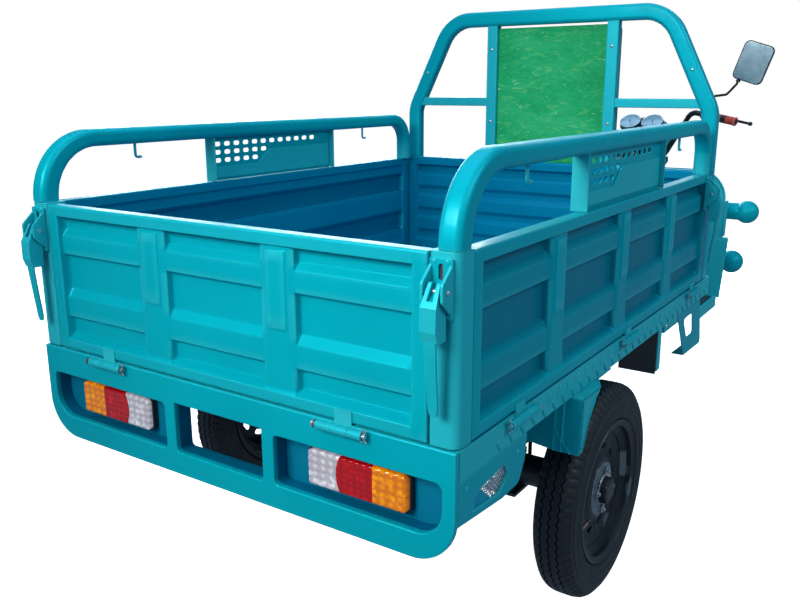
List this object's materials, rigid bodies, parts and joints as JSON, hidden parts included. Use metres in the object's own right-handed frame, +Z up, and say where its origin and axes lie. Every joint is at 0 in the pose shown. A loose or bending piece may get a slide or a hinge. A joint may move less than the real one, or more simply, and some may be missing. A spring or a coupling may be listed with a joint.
{
  "type": "cargo tricycle",
  "caption": "Motorised cargo tricycle with a drop-side cargo box, guard rails, roll bar, leaf-sprung rear axle and a handlebar-steered front wheel.",
  "frame": {"origin": "bottom centre of the whole vehicle's box, on the ground", "axes": "+X forward, +Y to the vehicle's left, +Z up"},
  "size_m": [3.074, 1.188, 1.441],
  "materials": {
    "body_paint": "glossy turquoise metallic paint",
    "frame_black": "satin black chassis paint",
    "bare_steel": "zinc plated",
    "chrome_parts": "bright",
    "tyre_rubber": "matt black rubber",
    "rim_black": "gloss black",
    "black_plastic": "textured black",
    "lamp_lens": "clear, red and amber prisms",
    "clear_lens": "clear",
    "green_film": "wrinkled green protective film",
    "seat_vinyl": "black vinyl",
    "grip_red": "orange red rubber",
    "mirror_glass": "dark case and glass",
    "battery_case": "battery blocks",
    "cast_alloy": "cast"
  },
  "bodies": {
    "chassis": {"chassis_frame": "frame_black", "steering_bearings": "bare_steel", "cargo_floor": "body_paint", "front_wall": "body_paint", "roll_bar": "body_paint", "backrest_board": "green_film", "backrest_cushion": "seat_vinyl", "rear_lamp_frame": "body_paint", "tail_lamp_bases": "black_plastic", "tail_lamp_lenses": "lamp_lens", "mesh_inserts": "frame_black", "rear_mudguards": "body_paint", "side_brackets": "body_paint", "leg_shield": "body_paint", "foot_deck": "body_paint", "seat_box": "body_paint", "battery_pack": "battery_case", "crash_bar": "body_paint", "wiring_harness": "black_plastic", "hinge_pins": "bare_steel", "leaf_springs": "frame_black"},
    "tailgate_body": {"tailgate": "body_paint"},
    "side_left": {"side_panel_left": "body_paint"},
    "side_right": {"side_panel_right": "body_paint"},
    "rear_latch_left": {"latch_rear_left": "body_paint"},
    "rear_latch_right": {"latch_rear_right": "body_paint"},
    "front_latch_left": {"latch_front_left": "body_paint"},
    "front_latch_right": {"latch_front_right": "body_paint"},
    "rear_axle": {"axle_housing": "frame_black", "drive_motor": "cast_alloy", "axle_u_bolts": "bare_steel", "brake_backplates": "frame_black"},
    "rear_wheel_left": {"rear_tyre_left": "tyre_rubber", "rear_rim_left": "rim_black", "rear_hub_left": "rim_black"},
    "rear_wheel_right": {"rear_tyre_right": "tyre_rubber", "rear_rim_right": "rim_black", "rear_hub_right": "rim_black"},
    "steering": {"steering_stem": "frame_black", "fork_tubes": "chrome_parts", "handlebar": "frame_black", "left_grip": "grip_red", "control_pods": "black_plastic", "instrument_cluster": "black_plastic", "headlight_shell": "body_paint", "headlight_lens": "clear_lens", "mirror_stalks": "frame_black"},
    "fork_lower": {"fork_sliders": "cast_alloy", "front_mudguard": "body_paint", "front_axle": "bare_steel"},
    "front_wheel": {"front_tyre": "tyre_rubber", "front_rim": "rim_black", "front_hub": "cast_alloy"},
    "throttle": {"throttle_grip": "grip_red"},
    "lever_left": {"brake_lever_left": "frame_black"},
    "lever_right": {"brake_lever_right": "frame_black"},
    "mirror_head_left": {"mirror_left": "mirror_glass"},
    "mirror_head_right": {"mirror_right": "mirror_glass"},
    "pedal": {"brake_pedal": "frame_black"},
    "seat": {"seat_cushion": "seat_vinyl"}
  },
  "joints": [
    {"name": "tailgate_hinge", "type": "hinge", "parent": "chassis", "child": "tailgate_body", "pos_m": [-1.506, 0, 0.611], "axis": [0, -1, 0], "range_deg": [0, 170]},
    {"name": "side_hinge_left", "type": "hinge", "parent": "chassis", "child": "side_left", "pos_m": [-0.748, 0.56, 0.607], "axis": [-1, 0, 0], "range_deg": [0, 135]},
    {"name": "side_hinge_right", "type": "hinge", "parent": "chassis", "child": "side_right", "pos_m": [-0.748, -0.56, 0.607], "axis": [1, 0, 0], "range_deg": [0, 135]},
    {"name": "rear_latch_left_pivot", "type": "hinge", "parent": "side_left", "child": "rear_latch_left", "pos_m": [-1.513, 0.52, 0.89], "axis": [0, 1, 0], "range_deg": [0, 150]},
    {"name": "rear_latch_right_pivot", "type": "hinge", "parent": "side_right", "child": "rear_latch_right", "pos_m": [-1.513, -0.52, 0.89], "axis": [0, 1, 0], "range_deg": [0, 150]},
    {"name": "front_latch_left_pivot", "type": "hinge", "parent": "side_left", "child": "front_latch_left", "pos_m": [-0.029, 0.57, 0.89], "axis": [1, 0, 0], "range_deg": [0, 150]},
    {"name": "front_latch_right_pivot", "type": "hinge", "parent": "side_right", "child": "front_latch_right", "pos_m": [-0.029, -0.57, 0.89], "axis": [-1, 0, 0], "range_deg": [0, 150]},
    {"name": "rear_suspension", "type": "slide", "parent": "chassis", "child": "rear_axle", "axis": [0, 0, 1], "range_m": [-0.03, 0.03], "stiffness_N_per_m": 90000, "springref_m": -0.0155, "deforming": ["leaf_springs"]},
    {"name": "rear_wheel_left_spin", "type": "hinge", "parent": "rear_axle", "child": "rear_wheel_left", "pos_m": [-0.789, 0.528, 0.259], "axis": [0, 1, 0], "continuous": true},
    {"name": "rear_wheel_right_spin", "type": "hinge", "parent": "rear_axle", "child": "rear_wheel_right", "pos_m": [-0.789, -0.528, 0.259], "axis": [0, 1, 0], "continuous": true},
    {"name": "steering_turn", "type": "hinge", "parent": "chassis", "child": "steering", "pos_m": [1.06812, 0, 0.76628], "axis": [-0.342, 0, 0.9397], "range_deg": [-40, 40]},
    {"name": "fork_travel", "type": "slide", "parent": "steering", "child": "fork_lower", "axis": [-0.342, 0, 0.9397], "range_m": [-0.02, 0.06], "stiffness_N_per_m": 22000, "springref_m": -0.02},
    {"name": "front_wheel_spin", "type": "hinge", "parent": "fork_lower", "child": "front_wheel", "pos_m": [1.287, 0, 0.25], "axis": [0, 1, 0], "continuous": true},
    {"name": "throttle_twist", "type": "hinge", "parent": "steering", "child": "throttle", "pos_m": [0.945, -0.402, 1.061], "axis": [-0.2875, -0.9419, -0.1735], "range_deg": [0, 70], "stiffness_Nm_per_rad": 0.4},
    {"name": "brake_lever_right_pull", "type": "hinge", "parent": "steering", "child": "lever_right", "pos_m": [1.01552, -0.28728, 1.08213], "axis": [0, 0.1812, -0.9835], "range_deg": [0, 12], "stiffness_Nm_per_rad": 3, "springref_deg": -5.73},
    {"name": "brake_lever_left_pull", "type": "hinge", "parent": "steering", "child": "lever_left", "pos_m": [1.01552, 0.28728, 1.08213], "axis": [0, 0.1812, 0.9835], "range_deg": [0, 12], "stiffness_Nm_per_rad": 3, "springref_deg": -5.73},
    {"name": "mirror_right_swivel", "type": "hinge", "parent": "steering", "child": "mirror_head_right", "pos_m": [0.959, -0.39319, 1.22232], "axis": [0, -0.309, 0.9511], "range_deg": [-30, 30]},
    {"name": "mirror_left_swivel", "type": "hinge", "parent": "steering", "child": "mirror_head_left", "pos_m": [0.959, 0.39319, 1.22232], "axis": [0, 0.309, 0.9511], "range_deg": [-30, 30]},
    {"name": "brake_pedal_press", "type": "hinge", "parent": "chassis", "child": "pedal", "pos_m": [0.627, -0.23, 0.425], "axis": [0, 1, 0], "range_deg": [0, 20], "stiffness_Nm_per_rad": 25, "springref_deg": -8.59},
    {"name": "seat_lid", "type": "hinge", "parent": "chassis", "child": "seat", "pos_m": [0.501, 0, 0.674], "axis": [0, 1, 0], "range_deg": [0, 70]}
  ]
}
